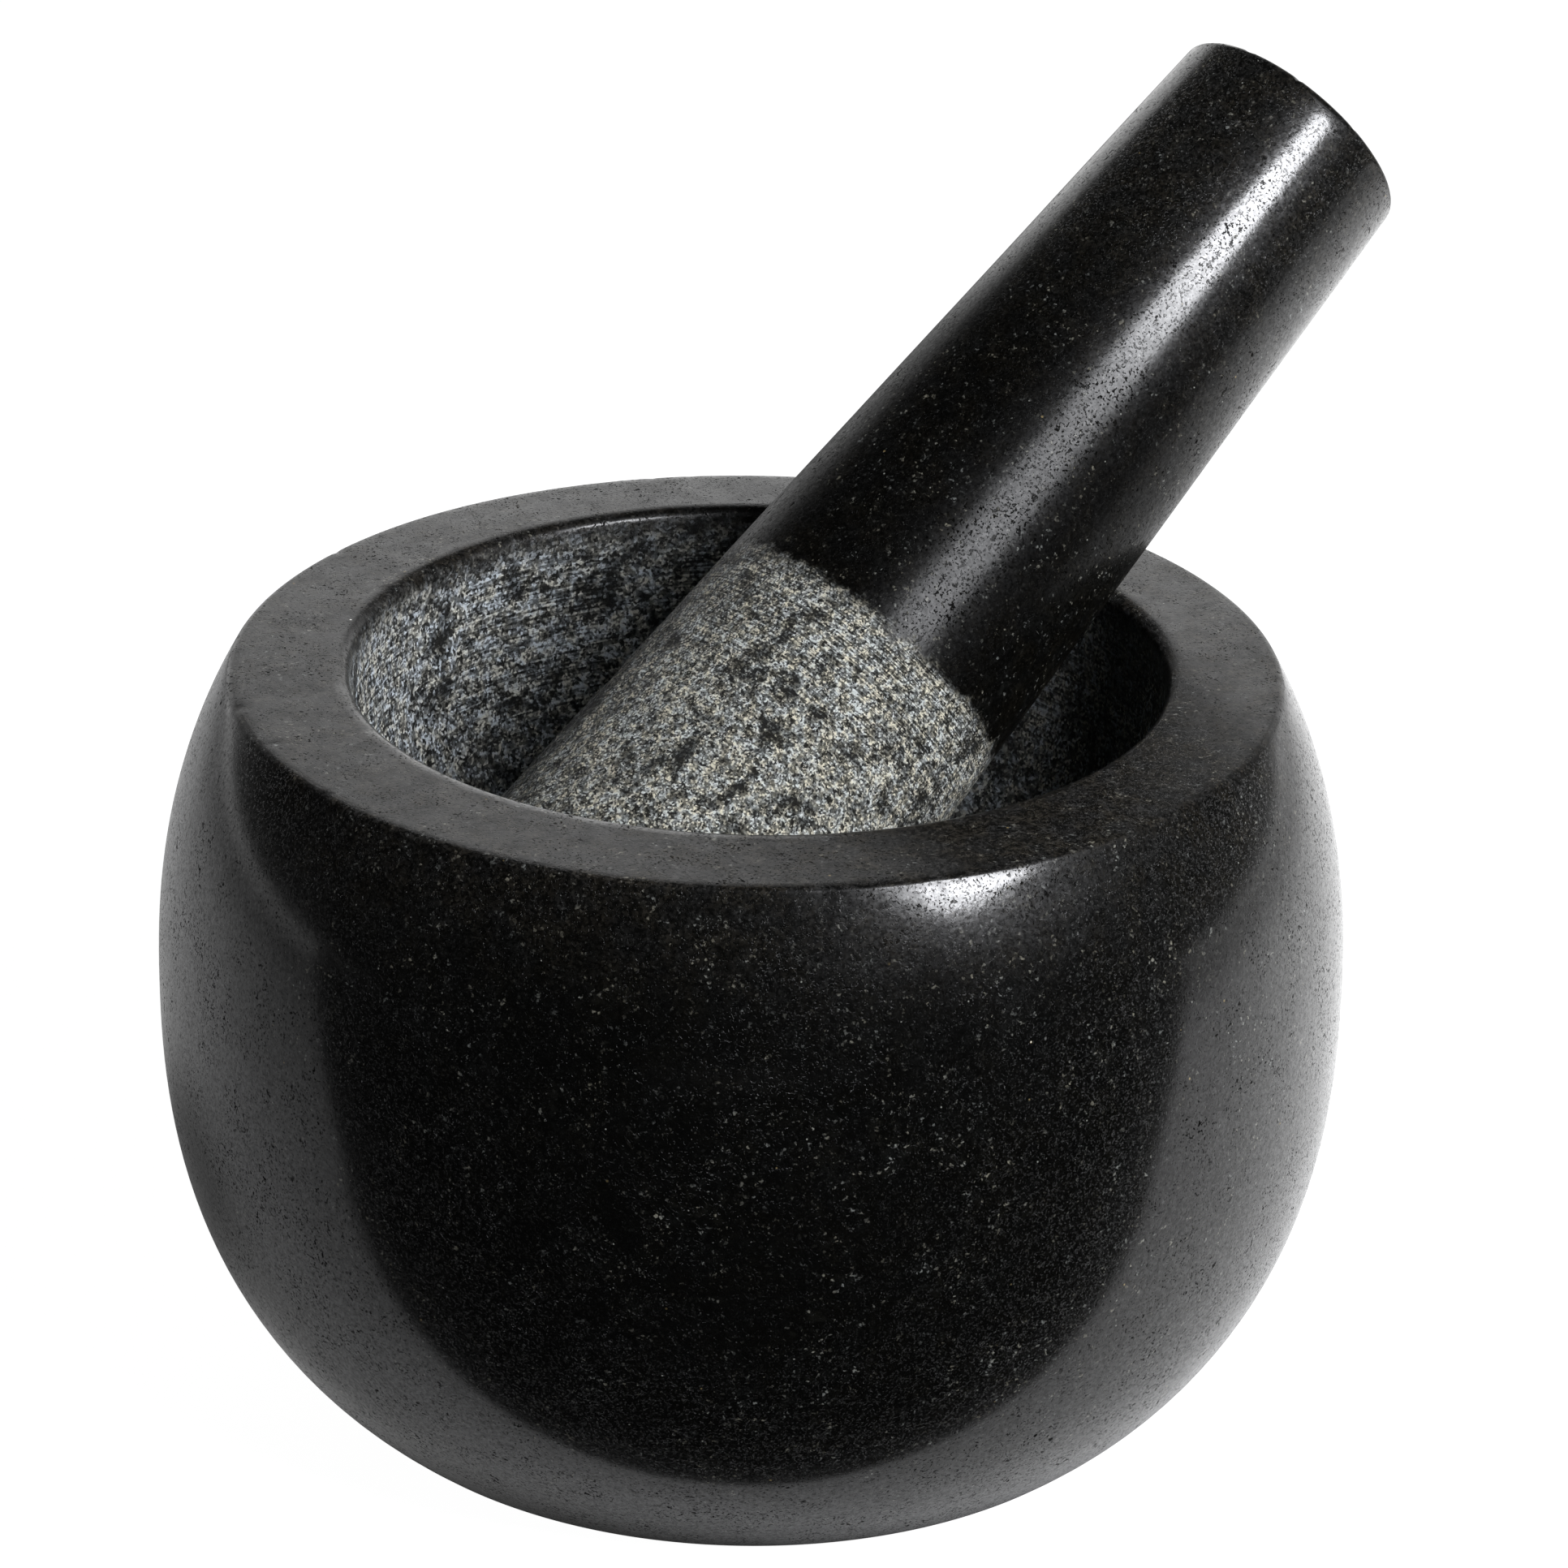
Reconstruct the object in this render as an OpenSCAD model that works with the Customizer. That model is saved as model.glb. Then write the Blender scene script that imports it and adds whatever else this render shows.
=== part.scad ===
// Polished stone mortar with a hollowed bowl, and the loose tapered pestle that leans in it.
// Millimetres, +Z up. The origin is the centre of the flat underside of the mortar.

/* [Mortar outside] */
// Radius of the mortar at its widest height
belly_r = 70; // [55:0.5:95]
// Height of the widest place above the base
belly_z = 50.8; // [44:0.2:58]
// Height of the flat rim above the base
mortar_h = 88.8; // [80:0.2:100]
// Vertical half-axis of the curve below the belly
lower_axis = 64.4; // [60:0.2:72]
// Fullness of the curve below the belly, 2 being an ellipse
lower_fullness = 2.42; // [2:0.02:2.8]
// Vertical half-axis of the curve above the belly
upper_axis = 68.5; // [60:0.5:80]
// Fullness of the curve above the belly, 2 being an ellipse
upper_fullness = 2.25; // [2:0.01:2.6]
// Radius of the rounding where the side meets the rim
rim_edge_r = 1; // [0.5:0.5:4]
// Radius of the rounding where the side meets the base
base_edge_r = 2; // [1:0.5:4]

/* [Mortar hollow] */
// Radius of the hollow just below its lip
hollow_r = 47.5; // [45.5:0.5:50]
// Depth of the hollow from the rim to its lowest point
hollow_depth = 60; // [58:1:64]
// Fullness of the hollow's wall, 2 being an ellipse
hollow_fullness = 2.2; // [2:0.05:2.6]
// Radius of the rounded lip between the rim and the hollow
lip_r = 1.5; // [0.5:0.5:3]
// How far the hand-ground hollow lies off the outside's axis, along X and Y
hollow_shift = [0.3, 1.4]; // [-2:0.1:2]

/* [Pestle] */
// Overall length of the pestle
pestle_l = 148; // [130:0.5:150]
// Radius at the thick end, where the grinding end starts to round off
pestle_thick_r = 22.2; // [18:0.1:22.4]
// Radius at the slim end, ignoring the rounded edge
pestle_slim_r = 15.7; // [12:0.1:16]
// Length of the rounded grinding end
grind_end_l = 16; // [12:1:24]
// Fullness of the rounded grinding end, 2 being an ellipse
grind_end_fullness = 2.2; // [2:0.1:3]
// Radius of the rounding at the slim end
slim_edge_r = 1; // [0.5:0.5:4]

/* [Pestle at rest] */
// Slope of the pestle's axis above the level
rest_slope = 36.4; // [36:0.1:37]
// Compass direction that the pestle leans to, from +X towards +Y
rest_heading = 41.4; // [0:0.1:360]
// Where the pestle's axis crosses the rim's level, measured along the lean
rest_reach = 17.8; // [17:0.1:17.8]
// The same crossing, measured sideways to the lean
rest_side = -1.8; // [-2:0.1:-1.6]
// Length of the pestle's axis that lies below the rim's level
rest_depth = 66.4; // [62:0.1:66.4]

/* [Hidden] */
turn_fn = 128;          // facets of a full turn in a preview
curve_steps = 20;       // segments in each long curve of an outline
edge_steps = 6;         // segments in each small rounded edge
search_steps = 24;      // halvings that place a rounded edge
overcut = 1;            // how far the hollow's cutter rises above the rim

// A point of the superellipse with half-axes a (outward) and b (upward) at angle t.
function bulge(a, b, n, t) = [a * pow(cos(t), 2 / n), b * pow(sin(t), 2 / n)];

// Direction of that curve's outward normal at angle t.
function bulge_normal(a, b, n, t) =
    let (m = 2 * (n - 1) / n)
    atan2(pow(sin(t), m) / b, pow(cos(t), m) / a);

// Height reached by an edge of radius edge that leaves the curve at angle t.
function edge_top(a, b, n, edge, t) =
    bulge(a, b, n, t)[1] + edge * (1 - sin(bulge_normal(a, b, n, t)));

// Angle at which the edge must leave the curve to end level with height h.
function edge_start(a, b, n, edge, h, low = 0, high = 90, steps = search_steps) =
    let (middle = (low + high) / 2)
    steps == 0 ? middle
    : edge_top(a, b, n, edge, middle) < h
        ? edge_start(a, b, n, edge, h, middle, high, steps - 1)
        : edge_start(a, b, n, edge, h, low, middle, steps - 1);

// Half of a turned outline: from the widest place up to a flat at height h, edge rounded.
function half_outline(a, b, n, edge, h) =
    let (
        last = edge_start(a, b, n, edge, h),
        lean = bulge_normal(a, b, n, last),
        flat_r = bulge(a, b, n, last)[0] - edge * cos(lean)
    )
    concat(
        [for (i = [0 : curve_steps]) bulge(a, b, n, last * i / curve_steps)],
        [for (i = [1 : edge_steps - 1])
            let (turn = lean + (90 - lean) * i / edge_steps)
            [flat_r, h - edge] + edge * [cos(turn), sin(turn)]],
        [[flat_r, h]]
    );

// A list of points in the opposite order.
function reversed(points) = [for (i = [len(points) - 1 : -1 : 0]) points[i]];

// Outline of the mortar's outside, from the middle of the base to the middle of the rim.
function mortar_outline() =
    let (
        lower = half_outline(belly_r, lower_axis, lower_fullness, base_edge_r, belly_z),
        upper = half_outline(belly_r, upper_axis, upper_fullness, rim_edge_r, mortar_h - belly_z)
    )
    concat(
        [[0, 0]],
        [for (p = reversed(lower)) [p[0], belly_z - p[1]]],
        [for (i = [1 : len(upper) - 1]) [upper[i][0], belly_z + upper[i][1]]],
        [[0, mortar_h]]
    );

// Outline of the space taken out for the hollow and its rounded lip.
function hollow_outline() =
    let (wall_top = mortar_h - lip_r, wall_h = hollow_depth - lip_r)
    concat(
        [[0, mortar_h + overcut], [hollow_r + lip_r, mortar_h + overcut]],
        [for (i = [0 : edge_steps])
            let (turn = 90 + 90 * i / edge_steps)
            [hollow_r + lip_r, wall_top] + lip_r * [cos(turn), sin(turn)]],
        [for (i = [1 : curve_steps])
            let (p = bulge(hollow_r, wall_h, hollow_fullness, 90 * i / curve_steps))
            [p[0], wall_top - p[1]]]
    );

// Outline of the pestle, standing on its grinding end.
function pestle_outline() =
    concat(
        [for (i = [0 : curve_steps])
            let (t = 90 * (1 - i / curve_steps))
            let (p = bulge(pestle_thick_r, grind_end_l, grind_end_fullness, t))
            [p[0], grind_end_l - p[1]]],
        [for (i = [0 : edge_steps])
            let (turn = 90 * i / edge_steps)
            [pestle_slim_r - slim_edge_r, pestle_l - slim_edge_r]
                + slim_edge_r * [cos(turn), sin(turn)]],
        [[0, pestle_l]]
    );

// Puts what stands on the origin into the pestle's place, leaning in the hollow.
module at_rest() {
    translate([0, 0, mortar_h])
        rotate([0, 0, rest_heading])
            translate([rest_reach, rest_side, 0])
                rotate([0, 90 - rest_slope, 0])
                    translate([0, 0, -rest_depth])
                        children();
}

module mortar() {
    color([0.07, 0.07, 0.075])
        difference() {
            rotate_extrude($fn = turn_fn)
                polygon(mortar_outline());
            translate([hollow_shift[0], hollow_shift[1], 0])
                rotate_extrude($fn = turn_fn)
                    polygon(hollow_outline());
        }
}

module pestle() {
    color([0.16, 0.165, 0.16])
        at_rest()
            rotate_extrude($fn = turn_fn)
                polygon(pestle_outline());
}

mortar();
pestle();
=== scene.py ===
"""The looks of a polished black stone mortar and its loose pestle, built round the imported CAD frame."""

import math

import bpy
import numpy as np
from mathutils import Matrix, Vector, noise


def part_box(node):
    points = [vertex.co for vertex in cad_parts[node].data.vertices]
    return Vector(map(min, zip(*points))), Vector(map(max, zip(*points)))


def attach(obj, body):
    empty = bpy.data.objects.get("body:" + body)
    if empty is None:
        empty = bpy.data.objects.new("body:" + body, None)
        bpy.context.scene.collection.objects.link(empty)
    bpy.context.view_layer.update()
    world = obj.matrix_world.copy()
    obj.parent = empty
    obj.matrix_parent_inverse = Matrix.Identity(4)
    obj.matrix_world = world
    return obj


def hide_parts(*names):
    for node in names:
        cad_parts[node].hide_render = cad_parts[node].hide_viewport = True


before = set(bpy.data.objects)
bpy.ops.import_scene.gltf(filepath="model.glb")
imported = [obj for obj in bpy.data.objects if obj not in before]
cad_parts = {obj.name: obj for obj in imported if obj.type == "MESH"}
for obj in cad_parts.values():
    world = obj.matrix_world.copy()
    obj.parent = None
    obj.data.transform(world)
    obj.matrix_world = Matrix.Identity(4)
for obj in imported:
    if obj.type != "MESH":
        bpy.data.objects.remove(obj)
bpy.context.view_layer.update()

MM = 0.001
mortar_low, mortar_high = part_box("mortar")

# The mortar's outline, in millimetres, as the CAD turns it.
BELLY_R = (mortar_high.x - mortar_low.x) / 2 / MM
BELLY_Z = 50.8
MORTAR_H = mortar_high.z / MM
LOWER_AXIS, LOWER_FULLNESS = 64.4, 2.42
UPPER_AXIS, UPPER_FULLNESS = 68.5, 2.25
RIM_EDGE_R, BASE_EDGE_R = 1.0, 2.0
HOLLOW_R, HOLLOW_DEPTH, HOLLOW_FULLNESS = 47.5, 60.0, 2.2
LIP_R = 1.5
HOLLOW_SHIFT = np.array([0.3, 1.4])

# The pestle's outline and its place at rest, in millimetres and degrees, as in the CAD.
PESTLE_L, THICK_R, SLIM_R = 148.0, 22.2, 15.7
GRIND_END_L, GRIND_END_FULLNESS = 16.0, 2.2
SLIM_EDGE_R = 1.0
END_TILT = 0.022
REST_SLOPE, REST_HEADING = 36.4, 41.4
REST_REACH, REST_SIDE, REST_DEPTH = 17.8, -1.8, 66.4

# Where the polish ends: how far down from the lip, and how far up from the pestle's thick end.
POLISHED_LIP = 5.4
ROUGH_PESTLE_L = 61.2

SEED = 11

# The radius of the smallest ring of a mesh, round the point that closes it.
MIDDLE_R = 0.4

# The unevenness of the stone, in millimetres: the waves left in the polish, and the chips on its edges.
MORTAR_WAVE, PESTLE_WAVE, WAVE_DEPTH = 24, 20, 0.05
CHIP_SIZE = 0.9
RIM_CHIPS, RIM_CHIP_DEPTH = 14, 0.12
LIP_CHIPS, LIP_CHIP_DEPTH = 8, 0.10
PESTLE_CHIPS, PESTLE_CHIP_DEPTH = 22, 0.16
# How far the surface is set in, to make room for waves and grain that stand out from it.
MORTAR_INSET, PESTLE_INSET, GRIND_END_INSET, BROKEN_INSET = 0.05, 0.06, 0.03, 0.12


# ---------------------------------------------------------------- stage

CAMERA_LENS = 134.16
SENSOR = 36.0
CAMERA_DISTANCE, CAMERA_ELEVATION = 697.2 * MM, 26.36
CAMERA_AIM_Z = 45 * MM
CAMERA_YAW, CAMERA_PITCH, CAMERA_ROLL = -0.296, 2.144, 0.897


def make_camera():
    data = bpy.data.cameras.new("camera")
    data.lens = CAMERA_LENS
    data.sensor_width = SENSOR
    camera = bpy.data.objects.new("camera", data)
    bpy.context.scene.collection.objects.link(camera)
    rise = math.radians(CAMERA_ELEVATION)
    place = Vector((0, -CAMERA_DISTANCE * math.cos(rise),
                    CAMERA_AIM_Z + CAMERA_DISTANCE * math.sin(rise)))
    look = (Vector((0, 0, CAMERA_AIM_Z)) - place).to_track_quat("-Z", "Y").to_matrix()
    for angle, axis in ((CAMERA_YAW, "Y"), (CAMERA_PITCH, "X"), (CAMERA_ROLL, "Z")):
        look = look @ Matrix.Rotation(math.radians(angle), 3, axis)
    camera.matrix_world = Matrix.Translation(place) @ look.to_4x4()
    bpy.context.scene.camera = camera


def put(tree, kind, inputs=None, **settings):
    """Adds a shader node. An input may be a plain value or another node's output."""
    made = tree.nodes.new("ShaderNode" + kind)
    for name, value in settings.items():
        setattr(made, name, value)
    for key, value in (inputs or {}).items():
        if isinstance(value, bpy.types.NodeSocket):
            tree.links.new(value, made.inputs[key])
        else:
            made.inputs[key].default_value = value
    return made


def reckon(tree, operation, a, b=0.0, c=None):
    """One step of arithmetic."""
    values = {0: a, 1: b}
    if c is not None:
        values[2] = c
    return put(tree, "Math", values, operation=operation).outputs[0]


def ease(tree, value, start, end, low=0.0, high=1.0):
    """Goes smoothly from low to high as value goes from start to end."""
    return put(tree, "MapRange", {"Value": value, "From Min": start, "From Max": end,
                                  "To Min": low, "To Max": high},
               interpolation_type="SMOOTHSTEP").outputs["Result"]


def new_material(name):
    material = bpy.data.materials.new(name)
    material.use_nodes = True
    material.node_tree.nodes.clear()
    return material


FLOOR_R, FLOOR_DROP = 1.3, 0.3 * MM
FLOOR_SIDES = 96
FLOOR_ALBEDO = 0.3
FLOOR_SEEN_GLOW = 0.99
# Painted light: the glow that the stone sees is stronger to the right, as if the key lit that side of the
# table.
FLOOR_GLOW_LEFT, FLOOR_GLOW_MIDDLE, FLOOR_GLOW_RIGHT = 0.26, 0.31, 0.74
# Where the glow changes, as (start, end) in metres: across X, back along Y, and out from the middle.
# These changes are painted light and shade, seen in the stone's reflections.
LEFT_CHANGE, RIGHT_CHANGE = (-0.09, -0.02), (0.0, 0.11)
BACK_CHANGE, BACK_GAIN = (-0.03, 0.10), 1.5
FAR_CHANGE, FAR_GAIN = (0.28, 0.60), 0.45
# Painted shade: the glow dies away close round the mortar's base.
BASE_SHADE_CHANGE = (0.046, 0.060)
EDGE_CHANGE = (0.6, 1.2)
# A painted shadow: a dimmer patch of the floor's glow, to the mortar's left.
SHADOW_PLACE = (-0.085, 0.030, -FLOOR_DROP)
SHADOW_CHANGE, SHADOW_GAIN = (0.015, 0.058), 0.35
FLAG_SIDE, FLAG_FRONT, FLAG_EDGE = 1.2, -1.2, -64 * MM
FLAG_LIFT = 0.2 * MM
FLAG_GLOW = 0.012


def flat_sheet(name, corners):
    mesh = bpy.data.meshes.new(name)
    mesh.from_pydata(corners, [], [list(range(len(corners)))])
    sheet = bpy.data.objects.new(name, mesh)
    bpy.context.scene.collection.objects.link(sheet)
    return sheet


def make_floor():
    """A table that the camera sees as white, and the stone as an uneven glow of painted light and shade.
    It is clear from below.
    """
    turns = [2 * math.pi * i / FLOOR_SIDES for i in range(FLOOR_SIDES)]
    floor = flat_sheet("floor", [(FLOOR_R * math.cos(t), FLOOR_R * math.sin(t), -FLOOR_DROP)
                                 for t in turns])
    material = new_material("floor")
    tree = material.node_tree
    place = put(tree, "TexCoord").outputs["Object"]
    reach = put(tree, "VectorMath", {0: place}, operation="LENGTH").outputs["Value"]
    lit = put(tree, "BsdfDiffuse", {"Color": (FLOOR_ALBEDO,) * 3 + (1,)}).outputs[0]
    parts = put(tree, "SeparateXYZ", {0: place})
    across = parts.outputs["X"]
    # Painted light: the glow grows from left to right, as if the key lit the right of the table.
    glow = reckon(tree, "ADD",
                  ease(tree, across, *LEFT_CHANGE, FLOOR_GLOW_LEFT, FLOOR_GLOW_MIDDLE),
                  ease(tree, across, *RIGHT_CHANGE, 0.0, FLOOR_GLOW_RIGHT - FLOOR_GLOW_MIDDLE))
    aside = put(tree, "VectorMath", {0: place, 1: SHADOW_PLACE}, operation="DISTANCE")
    # Painted light and shade in the glow: brighter behind, a painted shadow to the mortar's left, dimmer
    # far out, and painted shade under the base.
    for share in (ease(tree, parts.outputs["Y"], *BACK_CHANGE, 1.0, BACK_GAIN),
                  ease(tree, aside.outputs["Value"], *SHADOW_CHANGE, SHADOW_GAIN, 1.0),
                  ease(tree, reach, *FAR_CHANGE, 1.0, FAR_GAIN),
                  ease(tree, reach, *BASE_SHADE_CHANGE)):
        glow = reckon(tree, "MULTIPLY", glow, share)
    seen = put(tree, "LightPath").outputs["Is Camera Ray"]
    glow = put(tree, "Mix", {0: seen, 2: glow, 3: FLOOR_SEEN_GLOW}).outputs[0]
    glow = put(tree, "Emission", {"Strength": glow}).outputs[0]
    near = put(tree, "AddShader", {0: lit, 1: glow}).outputs[0]
    far = put(tree, "Emission", {"Strength": 1.0}).outputs[0]
    faded = put(tree, "MixShader", {0: ease(tree, reach, *EDGE_CHANGE), 1: near, 2: far}).outputs[0]
    under = put(tree, "NewGeometry").outputs["Backfacing"]
    clear = put(tree, "BsdfTransparent").outputs[0]
    shown = put(tree, "MixShader", {0: under, 1: faded, 2: clear}).outputs[0]
    put(tree, "OutputMaterial", {"Surface": shown})
    floor.data.materials.append(material)


def make_flag():
    """A nearly black card on the table in front of the mortar, seen only in reflections."""
    flag = flat_sheet("front_flag", [
        (-FLAG_SIDE, FLAG_FRONT, FLAG_LIFT), (FLAG_SIDE, FLAG_FRONT, FLAG_LIFT),
        (FLAG_SIDE, FLAG_EDGE, FLAG_LIFT), (-FLAG_SIDE, FLAG_EDGE, FLAG_LIFT)])
    material = new_material("front_flag")
    tree = material.node_tree
    put(tree, "OutputMaterial", {
        "Surface": put(tree, "Emission", {"Strength": FLAG_GLOW}).outputs[0]})
    flag.data.materials.append(material)
    flag.visible_camera = False
    flag.visible_diffuse = False
    flag.visible_shadow = False
    flag.visible_transmission = False


KEY_HEADING, KEY_RISE, KEY_DISTANCE = 47.5, 36.0, 0.6
KEY_WIDTH, KEY_HEIGHT, KEY_SHIFT = 0.33, 0.30, -0.035
KEY_FADE, KEY_FULL = 0.0, 0.5
KEY_POWER = 7.0
KEY_COLOUR = (0.955, 0.965, 1.0)


def make_key():
    """An oval softbox, up and to the right of the camera, that fades out towards one side."""
    data = bpy.data.lights.new("key", "AREA")
    data.shape = "ELLIPSE"
    data.size, data.size_y = KEY_WIDTH, KEY_HEIGHT
    data.energy = KEY_POWER
    data.color = KEY_COLOUR
    data.use_nodes = True
    tree = data.node_tree
    tree.nodes.clear()
    across = put(tree, "SeparateXYZ", {0: put(tree, "NewGeometry").outputs["Parametric"]})
    glow = ease(tree, across.outputs["X"], KEY_FADE, KEY_FULL)
    put(tree, "OutputLight", {"Surface": put(tree, "Emission", {"Strength": glow}).outputs[0]})
    light = bpy.data.objects.new("key", data)
    bpy.context.scene.collection.objects.link(light)
    turn, rise = math.radians(KEY_HEADING), math.radians(KEY_RISE)
    aim = Vector((0, 0, MORTAR_H * MM))
    out = Vector((math.sin(turn) * math.cos(rise), -math.cos(turn) * math.cos(rise),
                  math.sin(rise)))
    side = Vector((math.cos(turn), math.sin(turn), 0))
    light.location = aim + out * KEY_DISTANCE + side * KEY_SHIFT
    light.rotation_mode = "QUATERNION"
    light.rotation_quaternion = out.to_track_quat("Z", "Y")
    light.visible_camera = False


# Where the backdrop's glow changes, as (start, end) of the looking direction's Y, Z and X.
BACKDROP_AHEAD, BACKDROP_TOP = (0.62, 0.93), (0.465, 0.335)
BACKDROP_SIDES, BACKDROP_SIDE_SHARE = (0.03, 0.14), 0.55
BACKDROP_GLOW, ROOM_GLOW = 2.3, 0.015


def make_world():
    """White to the camera; to the stone, a dark room with a bright backdrop behind."""
    world = bpy.data.worlds.new("studio")
    bpy.context.scene.world = world
    world.use_nodes = True
    tree = world.node_tree
    tree.nodes.clear()
    way = put(tree, "SeparateXYZ", {0: put(tree, "TexCoord").outputs["Generated"]})
    aside = reckon(tree, "ABSOLUTE", way.outputs["X"])
    back = reckon(tree, "MULTIPLY", ease(tree, way.outputs["Y"], *BACKDROP_AHEAD),
                  ease(tree, way.outputs["Z"], *BACKDROP_TOP))
    back = reckon(tree, "MULTIPLY", back,
                  ease(tree, aside, *BACKDROP_SIDES, 1.0, BACKDROP_SIDE_SHARE))
    glow = reckon(tree, "MULTIPLY_ADD", back, BACKDROP_GLOW, ROOM_GLOW)
    room = put(tree, "Background", {"Strength": glow})
    seen = put(tree, "Background", {"Color": (1, 1, 1, 1)})
    camera_ray = put(tree, "LightPath").outputs["Is Camera Ray"]
    both = put(tree, "MixShader", {0: camera_ray, 1: room.outputs[0], 2: seen.outputs[0]})
    put(tree, "OutputWorld", {"Surface": both.outputs[0]})


# ---------------------------------------------------------------- turned shapes

def bulge(a, b, n, turn):
    """A point of a superellipse with half-axes a and b, at an angle in radians."""
    return np.array([a * max(math.cos(turn), 0) ** (2 / n), b * math.sin(turn) ** (2 / n)])


def bulge_normal(a, b, n, turn):
    power = 2 * (n - 1) / n
    return math.atan2(math.sin(turn) ** power / b, max(math.cos(turn), 0) ** power / a)


def half_outline(a, b, n, edge, height, steps=400):
    """From the widest place to a flat at that height, with the edge rounded."""
    low, high = 0.0, math.pi / 2
    for _ in range(40):
        last = (low + high) / 2
        top = bulge(a, b, n, last)[1] + edge * (1 - math.sin(bulge_normal(a, b, n, last)))
        low, high = (last, high) if top < height else (low, last)
    lean = bulge_normal(a, b, n, last)
    flat_r = bulge(a, b, n, last)[0] - edge * math.cos(lean)
    curve = [bulge(a, b, n, last * i / steps) for i in range(steps + 1)]
    arc = [np.array([flat_r + edge * math.cos(t), height - edge + edge * math.sin(t)])
           for t in np.linspace(lean, math.pi / 2, 40)[1:]]
    return np.array(curve), np.array(arc)


def resample(points, spacing):
    """Points at about that spacing along a stretch of outline, its two ends kept."""
    points = np.asarray(points)
    run = np.r_[0, np.cumsum(np.linalg.norm(np.diff(points, axis=0), axis=1))]
    count = max(2, int(round(run[-1] / spacing)) + 1)
    at = np.linspace(0, run[-1], count)
    return np.c_[np.interp(at, run, points[:, 0]), np.interp(at, run, points[:, 1])]


def join_stretches(stretches):
    """One outline from (points, spacing) stretches that meet end to end."""
    parts = [resample(points, spacing) for points, spacing in stretches]
    return np.vstack([parts[0]] + [part[1:] for part in parts[1:]])


def above_belly(points):
    return np.c_[points[:, 0], BELLY_Z + points[:, 1]]


def below_belly(points):
    """The same, mirrored downwards, so that its order is turned round too."""
    return np.c_[points[:, 0], BELLY_Z - points[:, 1]][::-1]


def mortar_outline():
    """Rings of (radius, height), from the middle of the base over the rim to the hollow's floor."""
    lower, base_edge = half_outline(BELLY_R, LOWER_AXIS, LOWER_FULLNESS, BASE_EDGE_R, BELLY_Z)
    upper, rim_edge = half_outline(BELLY_R, UPPER_AXIS, UPPER_FULLNESS, RIM_EDGE_R,
                                   MORTAR_H - BELLY_Z)
    base_edge, lower = below_belly(base_edge), below_belly(lower)
    upper, rim_edge = above_belly(upper), above_belly(rim_edge)
    wall_top, wall_h = MORTAR_H - LIP_R, HOLLOW_DEPTH - LIP_R
    lip = [(HOLLOW_R + LIP_R + LIP_R * math.cos(t), wall_top + LIP_R * math.sin(t))
           for t in np.linspace(math.pi / 2, math.pi, 30)]
    wall = [bulge(HOLLOW_R, wall_h, HOLLOW_FULLNESS, t) * (1, -1) + (0, wall_top)
            for t in np.linspace(0, math.pi / 2, 600)]
    return join_stretches([
        ([(MIDDLE_R, 0), base_edge[0]], 2.6),
        (np.vstack([base_edge, lower[:1]]), 0.5),
        (lower, 1.9),
        (upper, 1.6),
        (np.vstack([upper[-1:], rim_edge]), 0.3),
        ([rim_edge[-1], lip[0]], 0.85),
        (lip, 0.45),
        (np.vstack([lip[-1:], wall, [(MIDDLE_R, MORTAR_H - HOLLOW_DEPTH)]]), 0.95),
    ])


def pestle_outline():
    """Rings of (radius, height), from the grinding end up to the slim end."""
    end = [bulge(THICK_R, GRIND_END_L, GRIND_END_FULLNESS, t) * (1, -1) + (0, GRIND_END_L)
           for t in np.linspace(math.pi / 2, 0, 300)]
    end = [p for p in end if p[0] > MIDDLE_R]
    edge = [(SLIM_R - SLIM_EDGE_R * (1 - math.cos(t)), PESTLE_L - SLIM_EDGE_R * (1 - math.sin(t)))
            for t in np.linspace(0, math.pi / 2, 30)]
    dense_z = ROUGH_PESTLE_L + 3
    dense_r = THICK_R + (SLIM_R - THICK_R) * ((dense_z - GRIND_END_L)
                                              / (PESTLE_L - SLIM_EDGE_R - GRIND_END_L))
    return join_stretches([
        (end, 0.7),
        ([end[-1], (dense_r, dense_z)], 0.7),
        ([(dense_r, dense_z), edge[0]], 1.4),
        (edge, 0.3),
        ([edge[-1], (MIDDLE_R, PESTLE_L)], 1.2),
    ])


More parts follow.
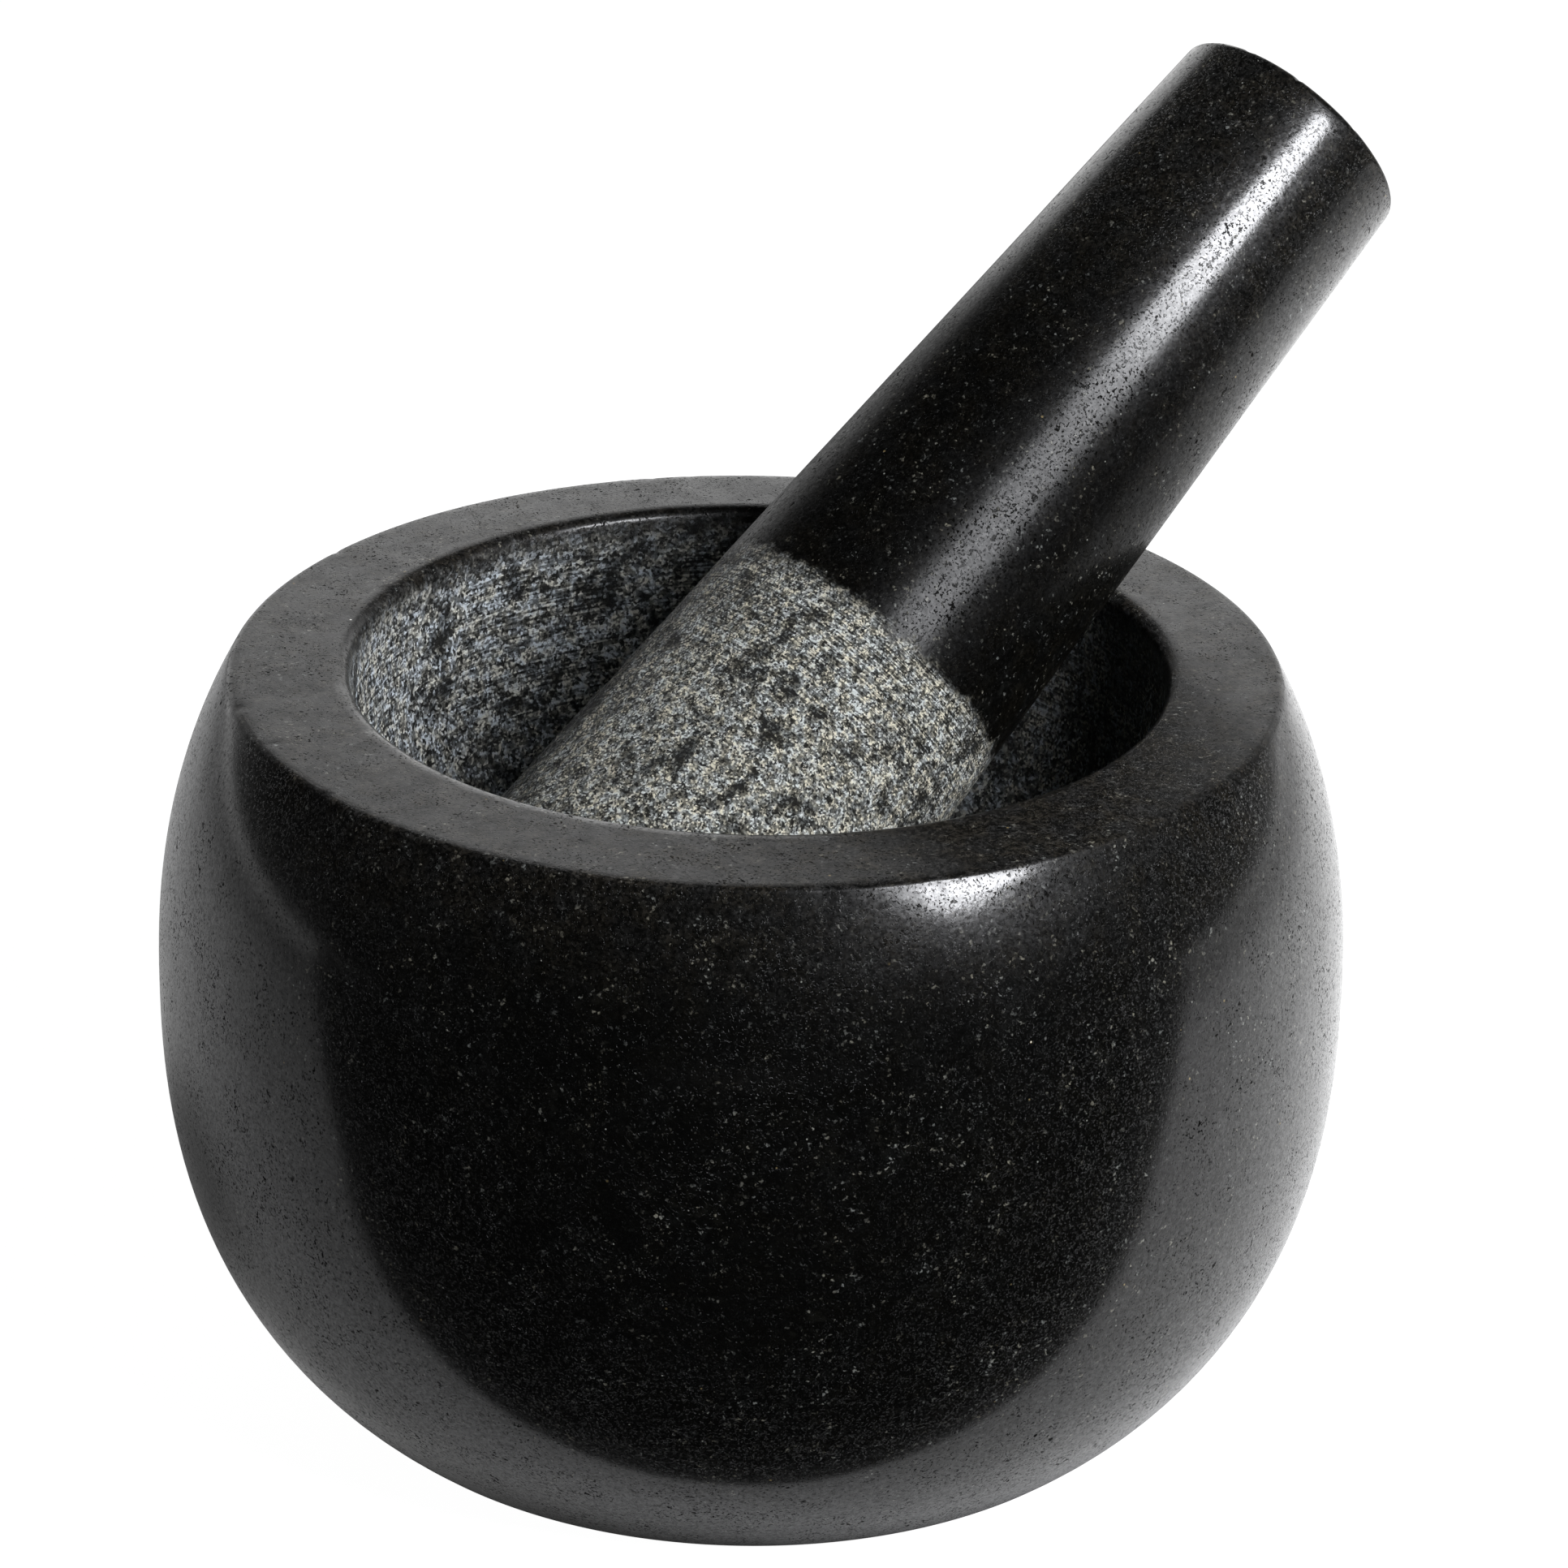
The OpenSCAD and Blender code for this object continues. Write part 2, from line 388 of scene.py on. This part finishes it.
def turned_mesh(name, outline, segments, shifts, relief):
    """Turns an outline into a closed mesh. relief(points, runs) moves points outwards, in mm."""
    rings = len(outline)
    turns = 2 * math.pi * np.arange(segments) / segments
    around = np.stack([np.cos(turns), np.sin(turns)], 1)
    points = np.empty((rings, segments, 3))
    points[:, :, :2] = outline[:, None, :1] * around[None] + shifts[:, None, :]
    points[:, :, 2] = outline[:, 1:2]
    along = np.gradient(outline, axis=0)
    along /= np.linalg.norm(along, axis=1)[:, None]
    normals = np.empty_like(points)
    normals[:, :, :2] = along[:, None, 1:2] * around[None]
    normals[:, :, 2] = -along[:, 0:1]
    run = np.r_[0, np.cumsum(np.linalg.norm(np.diff(outline, axis=0), axis=1))]
    runs = np.repeat(run[:, None], segments, 1)
    points = points + normals * relief(points, runs)[:, :, None]
    first, last = points[0].mean(0), points[-1].mean(0)
    vertices = np.vstack([points.reshape(-1, 3), first, last]) * MM
    index = np.arange(rings * segments).reshape(rings, segments)
    after = np.roll(index, -1, axis=1)
    quads = np.stack([index[:-1], after[:-1], after[1:], index[1:]], -1).reshape(-1, 4)
    start, end = rings * segments, rings * segments + 1
    faces = quads.tolist()
    faces += [[start, after[0, i], index[0, i]] for i in range(segments)]
    faces += [[end, index[-1, i], after[-1, i]] for i in range(segments)]
    mesh = bpy.data.meshes.new(name)
    mesh.from_pydata(vertices.tolist(), [], faces)
    mesh.polygons.foreach_set("use_smooth", np.ones(len(mesh.polygons), bool))
    attribute = mesh.attributes.new("run", "FLOAT", "POINT")
    attribute.data.foreach_set("value", np.r_[runs.ravel(), run[0], run[-1]].astype(np.float32))
    attribute = mesh.attributes.new("own_place", "FLOAT_VECTOR", "POINT")
    attribute.data.foreach_set("vector", (vertices / MM).ravel().astype(np.float32))
    mesh.update()
    made = bpy.data.objects.new(name, mesh)
    bpy.context.scene.collection.objects.link(made)
    return made


def smooth_step(value, start, end):
    share = np.clip((value - start) / (end - start), 0, 1)
    return share * share * (3 - 2 * share)


def noise_field(points, size, seed):
    """Smooth noise from -1 to 1 at each point, with features of about that size in mm."""
    scaled = points.reshape(-1, 3) * (1 / size) + seed * 17.3
    values = np.array([noise.noise(p) for p in scaled.tolist()])
    return values.reshape(points.shape[:-1])


def pits(points, count, spread, size, depth, rng):
    """Small round hollows, in mm, at random points of the mesh where spread is true."""
    flat = points.reshape(-1, 3)
    chosen = np.flatnonzero(spread.ravel())
    relief = np.zeros(len(flat))
    for centre in flat[rng.choice(chosen, count)]:
        radius = size * rng.uniform(0.6, 1.5)
        stretch = rng.uniform(0.6, 1.7, 3)
        near = np.linalg.norm((flat - centre) * stretch, axis=1) / radius
        inside = near < 1
        relief[inside] = np.minimum(relief[inside], -depth * rng.uniform(0.5, 1.3)
                                    * (1 - near[inside] ** 2) ** 2)
    return relief.reshape(points.shape[:-1])


def rough_relief(points, runs, seed):
    """The broken grain and the tool's rings of unpolished stone, in mm."""
    grain = noise_field(points, 2.6, seed) * 0.20 + noise_field(points, 1.2, seed + 1) * 0.14
    ringed = np.dstack([points[:, :, 0] / 14, points[:, :, 1] / 14, runs / 1.5])
    return grain + noise_field(ringed, 1.0, seed + 2) * 0.07 - BROKEN_INSET


def make_mortar():
    outline = mortar_outline()
    run = np.r_[0, np.cumsum(np.linalg.norm(np.diff(outline, axis=0), axis=1))]
    on_top = np.flatnonzero(outline[:, 1] > MORTAR_H - 1e-6)
    rim_run, lip_run = run[on_top[0]], run[on_top[-1]]
    inward = smooth_step(run, rim_run, lip_run)
    shifts = inward[:, None] * HOLLOW_SHIFT[None]
    rng = np.random.default_rng(SEED)

    def relief(points, runs):
        deep = smooth_step(runs, lip_run + POLISHED_LIP - 1, lip_run + POLISHED_LIP + 7)
        on_floor = smooth_step(points[:, :, 2], 0, 0.5)
        waves = noise_field(points, MORTAR_WAVE, 3) * WAVE_DEPTH * on_floor
        outer = abs(runs - rim_run) < 1.5
        inner = abs(runs - lip_run - 1) < 1.2
        marks = pits(points, RIM_CHIPS, outer, CHIP_SIZE, RIM_CHIP_DEPTH, rng)
        marks = marks + pits(points, LIP_CHIPS, inner, CHIP_SIZE, LIP_CHIP_DEPTH, rng)
        moved = waves + marks - MORTAR_INSET * on_floor
        return moved * (1 - deep) + (rough_relief(points, runs, 5) + waves) * deep

    made = turned_mesh("mortar_stone", outline, 480, shifts, relief)
    made.data.materials.append(mortar_stone(lip_run, rim_run))
    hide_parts("mortar")
    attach(made, "mortar")


def make_pestle():
    outline = pestle_outline()
    shifts = np.zeros((len(outline), 2))
    rng = np.random.default_rng(SEED + 1)

    def relief(points, runs):
        height = points[:, :, 2]
        rough = 1 - smooth_step(height, ROUGH_PESTLE_L - 14, ROUGH_PESTLE_L + 2)
        waves = noise_field(points, PESTLE_WAVE, 9) * WAVE_DEPTH
        marks = pits(points, PESTLE_CHIPS, height > PESTLE_L - 1.3, CHIP_SIZE, PESTLE_CHIP_DEPTH, rng)
        polished = waves + marks - PESTLE_INSET
        broken = rough_relief(points, runs, 13) - GRIND_END_INSET
        return polished * (1 - rough) + broken * rough

    made = turned_mesh("pestle_stone", outline, 300, shifts, relief)
    tilt_end(made.data)
    made.data.materials.append(pestle_stone())
    made.data.transform(pestle_place())
    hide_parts("pestle")
    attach(made, "pestle")


def tilt_end(mesh):
    """The slim end is cut a little out of square."""
    points = np.empty(len(mesh.vertices) * 3, np.float32)
    mesh.vertices.foreach_get("co", points)
    points = points.reshape(-1, 3)
    share = smooth_step(points[:, 2] / MM, PESTLE_L - 20, PESTLE_L)
    points[:, 2] += share * points[:, 1] * END_TILT
    mesh.vertices.foreach_set("co", points.ravel())
    mesh.update()


def pestle_place():
    """Where the pestle leans at rest: its thick end's middle, and its axis."""
    return (Matrix.Translation((0, 0, MORTAR_H * MM))
            @ Matrix.Rotation(math.radians(REST_HEADING), 4, "Z")
            @ Matrix.Translation((REST_REACH * MM, REST_SIDE * MM, 0))
            @ Matrix.Rotation(math.radians(90 - REST_SLOPE), 4, "Y")
            @ Matrix.Translation((0, 0, -REST_DEPTH * MM)))


# ---------------------------------------------------------------- stone

def millimetres(tree):
    """A point's place in the stone as it was turned, upright, in millimetres."""
    return put(tree, "Attribute", attribute_name="own_place").outputs["Vector"]


def grain(tree, place, size, detail=2.0, rough=0.5, offset=0.0, warp=0.0):
    """Noise from 0 to 1 with features of about that size in mm. offset picks another stretch of it."""
    moved = put(tree, "VectorMath", {0: place, 1: (offset,) * 3}, operation="ADD").outputs[0]
    return put(tree, "TexNoise", {"Vector": moved, "Scale": 1 / size, "Detail": detail,
                                  "Roughness": rough, "Distortion": warp}).outputs["Fac"]


def crystals(tree, place, size, offset):
    """Angular cells: (a different number in each cell, distance from the cell's middle)."""
    moved = put(tree, "VectorMath", {0: place, 1: (offset,) * 3}, operation="ADD").outputs[0]
    cell = put(tree, "TexVoronoi", {"Vector": moved, "Scale": 1 / size})
    own = put(tree, "SeparateColor", {0: cell.outputs["Color"]}).outputs[0]
    return own, cell.outputs["Distance"]


def blend(tree, share, a, b):
    mixed = put(tree, "Mix", {0: share}, data_type="RGBA")
    for socket, value in ((mixed.inputs[6], a), (mixed.inputs[7], b)):
        if isinstance(value, bpy.types.NodeSocket):
            tree.links.new(value, socket)
        else:
            socket.default_value = (*value, 1)
    return mixed.outputs[2]


def times(tree, *values):
    result = values[0]
    for value in values[1:]:
        result = reckon(tree, "MULTIPLY", result, value)
    return result


def warped(tree, place, size, amount, offset=0.0):
    """place pushed about by noise, so that cells lose their straight sides."""
    moved = put(tree, "VectorMath", {0: place, 1: (offset,) * 3}, operation="ADD").outputs[0]
    push = put(tree, "TexNoise", {"Vector": moved, "Scale": 1 / size, "Detail": 2.0})
    return put(tree, "VectorMath", {0: push.outputs["Color"], 1: (amount,) * 3, 2: place},
               operation="MULTIPLY_ADD").outputs[0]


def cells(tree, place, size, above, spot, offset):
    """1 in a round spot inside each of the few cells whose own number is above a limit."""
    own, middle = crystals(tree, place, size, offset)
    chosen = ease(tree, own, above, above + 0.01)
    return times(tree, chosen, ease(tree, middle, spot, spot * 0.6))


BLACK = (0.0010, 0.0010, 0.0008)
CHARCOAL = (0.0036, 0.0037, 0.0031)
HONED = (0.030, 0.028, 0.025)
FLECK_GREY = (0.20, 0.202, 0.180)
FLECK_PALE = (0.20, 0.205, 0.185)
FLECK_GOLD = (0.17, 0.13, 0.06)
SPARK = (0.80, 0.80, 0.75)
WARM_TINT = (1.07, 1.01, 0.90)
COOL_TINT = (0.95, 0.99, 1.06)


def tinted(tree, colour, place, size, offset):
    """The colour, leaning to warm here and to cool there."""
    lean = blend(tree, ease(tree, grain(tree, place, size, 2, 0.5, offset), 0.35, 0.65),
                 WARM_TINT, COOL_TINT)
    return put(tree, "VectorMath", {0: colour, 1: lean}, operation="MULTIPLY").outputs[0]


def blobs(tree, place, size, above, offset, detail=4.0):
    """1 inside the few ragged blobs where noise rises above a limit."""
    return ease(tree, grain(tree, place, size, detail, 0.62, offset), above, above + 0.035)


def polished_colour(tree, place, worn):
    """Near-black stone with faint mottles, dense small grey grains and a few tiny sparks."""
    bent = warped(tree, place, 0.5, 0.5)
    clouds = ease(tree, grain(tree, place, 9, 5, 0.66), 0.42, 0.62)
    mottle = ease(tree, grain(tree, bent, 1.5, 5, 0.72, 11), 0.47, 0.63)
    dense = reckon(tree, "MULTIPLY_ADD", clouds, 0.75, 0.25)
    colour = blend(tree, times(tree, mottle, dense), BLACK, CHARCOAL)
    own, _ = crystals(tree, bent, 0.30, 3)
    honed = times(tree, worn, ease(tree, own, 0.2, 1.0, 0.12, 1.2),
                  reckon(tree, "MULTIPLY_ADD", mottle, 0.5, 0.5))
    colour = blend(tree, honed, colour, HONED)
    grains = times(tree, ease(tree, own, 0.945, 0.975),
                   reckon(tree, "MULTIPLY_ADD", times(tree, clouds, mottle), 0.8, 0.02))
    colour = blend(tree, grains, colour, FLECK_GREY)
    broken = ease(tree, grain(tree, place, 0.35, 3, 0.65), 0.38, 0.62)
    crumbs = times(tree, blobs(tree, place, 0.9, 0.650, 29), dense,
                   reckon(tree, "MULTIPLY_ADD", broken, 0.5, 0.3))
    colour = blend(tree, crumbs, colour, FLECK_GREY)
    patches = times(tree, blobs(tree, place, 2.2, 0.69, 41, 6.0), broken, 0.8)
    colour = blend(tree, patches, colour, FLECK_PALE)
    colour = tinted(tree, colour, place, 3.2, 53)
    colour = blend(tree, cells(tree, place, 1.3, 0.984, 0.14, 97), colour, FLECK_GOLD)
    colour = blend(tree, cells(tree, place, 0.9, 0.975, 0.14, 153), colour, FLECK_PALE)
    colour = blend(tree, cells(tree, place, 3.4, 0.962, 0.05, 211), colour, SPARK)
    strands = put(tree, "Mapping", {"Vector": place, "Rotation": (0.5, 0.9, 0.4),
                                    "Scale": (0.25, 2.6, 2.6)}).outputs[0]
    return blend(tree, times(tree, cells(tree, strands, 1.4, 0.985, 0.10, 307), 0.6),
                 colour, FLECK_PALE)


ROUGH_DARK = (0.013, 0.013, 0.012)
ROUGH_MID = (0.19, 0.192, 0.184)
ROUGH_PALE = (0.85, 0.85, 0.83)
GREENISH, BLUISH = (1.01, 1.02, 0.96), (0.88, 0.92, 0.94)


def rough_colour(tree, place, rings, scored, hue):
    """Salt-and-pepper broken stone: pale and dark grains, clustered dark pits, tool marks."""
    bent = warped(tree, place, 0.6, 0.25, 7)
    fine, _ = crystals(tree, bent, 0.23, 5)
    coarse, _ = crystals(tree, bent, 0.75, 77)
    mottle = ease(tree, grain(tree, place, 1.9, 5, 0.7, 31), 0.30, 0.70)
    level = reckon(tree, "MULTIPLY_ADD", fine, 0.68, times(tree, coarse, 0.24))
    level = reckon(tree, "MULTIPLY_ADD", mottle, 0.16, level)
    lines = grain(tree, rings, 1.0, 3, 0.6, 3)
    level = reckon(tree, "MULTIPLY_ADD", reckon(tree, "SUBTRACT", lines, 0.5),
                   times(tree, scored, 1.8), level)
    blotch = ease(tree, grain(tree, place, 4.5, 4, 0.65, 19, 0.4), 0.50, 0.70)
    level = reckon(tree, "MULTIPLY_ADD", blotch, -0.42, level)
    holes = ease(tree, grain(tree, place, 0.8, 3, 0.65, 37), 0.40, 0.34, 0.0, 0.75)
    level = times(tree, level, reckon(tree, "SUBTRACT", 1.0, holes))
    colour = blend(tree, ease(tree, level, 0.16, 0.56), ROUGH_DARK, ROUGH_MID)
    colour = blend(tree, ease(tree, level, 0.50, 0.90), colour, ROUGH_PALE)
    colour = put(tree, "VectorMath", {0: colour, 1: hue}, operation="MULTIPLY").outputs[0]
    return tinted(tree, colour, place, 1.1, 59)


def ring_place(tree, place, along, across, pitch):
    """Coordinates that change slowly round the turned shape and fast along its outline."""
    parts = put(tree, "SeparateXYZ", {0: place})
    return put(tree, "CombineXYZ", {
        0: reckon(tree, "DIVIDE", parts.outputs["X"], across),
        1: reckon(tree, "DIVIDE", parts.outputs["Y"], across),
        2: reckon(tree, "DIVIDE", along, pitch)}).outputs[0]


GLOSSY_ROUGHNESS = 0.12
STONE_IOR = 1.5


def stone_surface(tree, place, rings, rough, satin, scored, worn, coarseness, shift, hue,
                  sheen=1.0, gloss=1.0, blur=0.0, coat_roughness=GLOSSY_ROUGHNESS):
    """The whole stone: broken where rough is 1, dulled where satin is 1, else polished.

    sheen and gloss scale the wide and the sharp reflection, and blur adds to the wide one's roughness.
    """
    broad = put(tree, "VectorMath", {0: place, 1: (1 / coarseness,) * 3, 2: (shift,) * 3},
                operation="MULTIPLY_ADD").outputs[0]
    colour = blend(tree, rough, polished_colour(tree, place, worn),
                   rough_colour(tree, broad, rings, scored, hue))
    pore_clouds = ease(tree, grain(tree, place, 5, 3, 0.6, 67), 0.40, 0.64)
    small_pores = ease(tree, grain(tree, place, 0.30, 2, 0.5, 61), 0.59, 0.65)
    large_pores = ease(tree, grain(tree, place, 0.70, 3, 0.55, 63), 0.625, 0.660)
    pores = times(tree, reckon(tree, "MAXIMUM", small_pores, large_pores),
                  reckon(tree, "MULTIPLY_ADD", pore_clouds, 0.7, 0.3))
    fine = grain(tree, place, 0.6, 4, 0.7, 71)
    facet, _ = crystals(tree, warped(tree, place, 0.7, 0.7, 91), 0.30, 93)
    broken = grain(tree, broad, 0.55, 6, 0.8, 83)
    lines = grain(tree, rings, 1.0, 3, 0.6, 3)
    polished_bump = put(tree, "Bump", {
        "Height": reckon(tree, "SUBTRACT", times(tree, reckon(
            tree, "MULTIPLY_ADD", lines, times(tree, scored, 1.5), fine), 0.14), pores),
        "Distance": 0.06 * MM, "Strength": 1.0}).outputs[0]
    height = reckon(tree, "MULTIPLY_ADD", lines, times(tree, scored, 0.9), broken)
    bump = put(tree, "Bump", {
        "Height": times(tree, height, rough), "Distance": 0.8 * MM, "Strength": 1.0,
        "Normal": polished_bump}).outputs[0]
    smudge = grain(tree, place, 9, 3, 0.6, 101)
    roughness = reckon(tree, "ADD", ease(tree, smudge, 0.3, 0.7, 0.27, 0.34), blur)
    roughness = reckon(tree, "MULTIPLY_ADD", pores, 0.3, roughness)
    roughness = reckon(tree, "MULTIPLY_ADD", rough, 0.15, roughness)
    speckle = times(tree, ease(tree, facet, 0.3, 1.0, 0.65, 1.35),
                    ease(tree, fine, 0.38, 0.62, 0.45, 1.2))
    speckle = put(tree, "Mix", {0: times(tree, satin, 0.85), 2: speckle, 3: 0.85}).outputs[0]
    smears = ease(tree, grain(tree, place, 4, 5, 0.68, 43), 0.36, 0.62, 0.66, 1.06)
    smeared = put(tree, "Mix", {0: satin, 2: 1.0, 3: smears}).outputs[0]
    level = reckon(tree, "MULTIPLY_ADD", worn, 0.22, 0.13)
    level = times(tree, reckon(tree, "MAXIMUM", level, times(tree, satin, 0.41)), speckle,
                  sheen, smeared, reckon(tree, "SUBTRACT", 1.0, times(tree, pores, 0.95)))
    level = reckon(tree, "MULTIPLY_ADD", rough, 0.3, level)
    shine = times(tree, reckon(tree, "SUBTRACT", 0.95, times(tree, pores, 0.90)),
                  reckon(tree, "SUBTRACT", 1.0, times(tree, satin, 0.7)),
                  reckon(tree, "SUBTRACT", 1.0, rough),
                  ease(tree, fine, 0.36, 0.60, 0.82, 1.0), ease(tree, facet, 0.0, 0.7, 0.94, 1.0),
                  gloss, smeared)
    shader = put(tree, "BsdfPrincipled", {
        "Base Color": colour, "Roughness": roughness, "Specular IOR Level": level,
        "Normal": bump, "Coat Weight": shine, "Coat Normal": polished_bump,
        "Coat Roughness": coat_roughness})
    shader.inputs["IOR"].default_value = STONE_IOR
    shader.inputs["Diffuse Roughness"].default_value = 0.8
    shader.inputs["Coat IOR"].default_value = STONE_IOR
    put(tree, "OutputMaterial", {"Surface": shader.outputs[0]})


def ragged(tree, place, value, start, end, spread):
    """ease(), with its border made ragged by noise."""
    shake = reckon(tree, "SUBTRACT", grain(tree, place, 1.8, 4, 0.65, 23), 0.5)
    return ease(tree, reckon(tree, "MULTIPLY_ADD", shake, spread, value), start, end)


def mortar_stone(lip_run, rim_run):
    material = new_material("mortar_stone")
    tree = material.node_tree
    place = millimetres(tree)
    run = put(tree, "Attribute", attribute_name="run").outputs["Fac"]
    rough_run = lip_run + POLISHED_LIP
    rough = ragged(tree, place, run, rough_run - 4.5, rough_run + 1.5, 4)
    satin = times(tree, ease(tree, run, rim_run - 1.6, rim_run - 0.6),
                  ease(tree, run, rough_run + 3, rough_run + 1))
    scored = times(tree, ease(tree, run, rough_run + 34, rough_run + 10),
                   ease(tree, run, rough_run - 3, rough_run + 1),
                   ease(tree, grain(tree, place, 16, 2, 0.5, 131), 0.42, 0.58, 0.05, 0.8))
    worn = reckon(tree, "MAXIMUM", satin, ease(tree, run, rim_run - 18, rim_run, 0.0, 0.5))
    stone_surface(tree, place, ring_place(tree, place, run, 7, 0.36), rough, satin, scored,
                  worn, 1.5, 13.0, BLUISH)
    return material


# Heights on the pestle, in millimetres, over which its polish and its worn look grow.
POLISH_CHANGE, WEAR_CHANGE = (84, 144), (90, 140)


def pestle_stone():
    material = new_material("pestle_stone")
    tree = material.node_tree
    place = millimetres(tree)
    height = put(tree, "SeparateXYZ", {0: place}).outputs["Z"]
    rough = ragged(tree, place, height, ROUGH_PESTLE_L + 1.8, ROUGH_PESTLE_L - 1.8, 4)
    satin = ease(tree, height, PESTLE_L - 1.2, PESTLE_L - 0.6)
    scored = times(tree, ease(tree, height, ROUGH_PESTLE_L - 26, ROUGH_PESTLE_L - 3, 0.15, 0.7),
                   ease(tree, height, ROUGH_PESTLE_L + 18, ROUGH_PESTLE_L + 2))
    polish = ease(tree, height, *POLISH_CHANGE)
    stone_surface(tree, place, ring_place(tree, place, height, 6, 0.2), rough, satin, scored,
                  ease(tree, height, *WEAR_CHANGE, 0.12, 0.55), 1.0, 0.0, GREENISH,
                  sheen=ease(tree, polish, 0.0, 1.0, 0.45, 1.0),
                  gloss=ease(tree, polish, 0.0, 1.0, 0.18, 1.0),
                  blur=ease(tree, polish, 1.0, 0.0, 0.0, 0.1),
                  coat_roughness=ease(tree, polish, 1.0, 0.0, 0.10, 0.22))
    return material


# ---------------------------------------------------------------- the scene

make_camera()
make_floor()
make_flag()
make_key()
make_world()
make_mortar()
make_pestle()
bpy.context.scene.view_settings.view_transform = "Standard"
